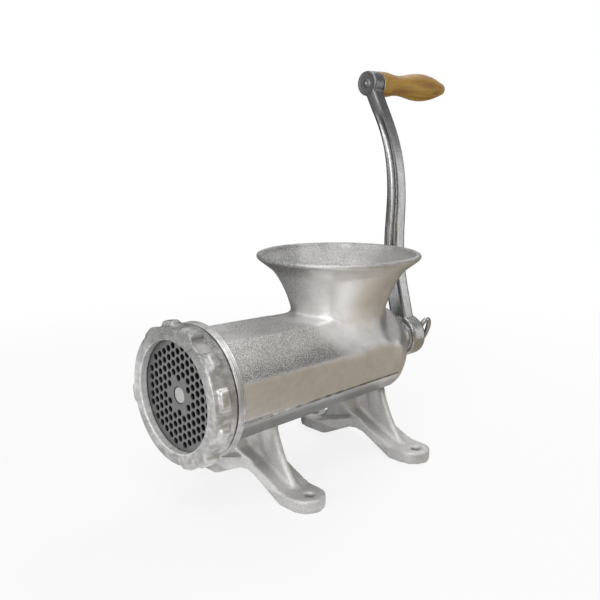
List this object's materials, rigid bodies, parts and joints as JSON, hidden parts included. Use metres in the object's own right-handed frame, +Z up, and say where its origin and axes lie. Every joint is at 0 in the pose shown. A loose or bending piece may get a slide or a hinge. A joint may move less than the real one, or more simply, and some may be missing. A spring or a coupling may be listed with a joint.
{
  "type": "hand crank meat grinder",
  "caption": "Cast, table-mounted meat grinder: eight-sided barrel on arched feet, flared hopper, lobed ring nut over a hole plate, and an S-shaped crank with a turned wooden grip.",
  "frame": {"origin": "on the table surface, at the centre of the rectangle of foot bolt holes", "axes": "+Z up, +Y along the barrel from its mouth towards the crank, +X towards the shorter feet"},
  "size_m": [0.1365, 0.3395, 0.3086],
  "materials": {
    "tinned_casting": "hot-dip tinned over a sand-cast skin, satin",
    "plate_steel": "ground, matt",
    "bright_steel": "turned, satin",
    "forged_steel": "tinned forging, glossy",
    "bush_bronze": "turned",
    "lacquered_wood": "turned and lacquered, lengthwise grain"
  },
  "bodies": {
    "casting": {"grinder_body": "tinned_casting", "rear_bush": "bush_bronze", "thrust_washer": "bush_bronze", "plate_key": "bright_steel"},
    "crank": {"auger": "tinned_casting", "auger_stud": "bright_steel", "stud_pin": "bright_steel", "knife": "plate_steel", "crank_arm": "forged_steel", "thumb_washer": "bright_steel", "grip_spindle": "bright_steel", "grip_washer": "bright_steel"},
    "grip": {"grip": "lacquered_wood"},
    "plate": {"hole_plate": "plate_steel"},
    "ring": {"ring_nut": "tinned_casting"},
    "screw": {"thumb_screw": "forged_steel"}
  },
  "joints": [
    {"name": "crank_spin", "type": "hinge", "parent": "casting", "child": "crank", "pos_m": [0.005, 0.1, 0.084], "axis": [0, 1, 0], "continuous": true},
    {"name": "grip_spin", "type": "hinge", "parent": "crank", "child": "grip", "pos_m": [-0.038, 0.16, 0.2966], "axis": [0, 1, 0], "continuous": true},
    {"name": "plate_slide", "type": "slide", "parent": "casting", "child": "plate", "axis": [0, -1, 0], "range_m": [0, 0.0151]},
    {"name": "ring_turn", "type": "hinge", "parent": "plate", "child": "ring", "pos_m": [0.005, -0.12, 0.084], "axis": [0, -1, 0], "range_deg": [0, 1800]},
    {"name": "screw_turn", "type": "hinge", "parent": "crank", "child": "screw", "pos_m": [0.005, 0.12, 0.084], "axis": [0, 1, 0], "range_deg": [0, 360]}
  ],
  "couplings": [
    {"joint": "plate_slide", "follows": "ring_turn", "m_per_rad": 0.00047746}
  ]
}
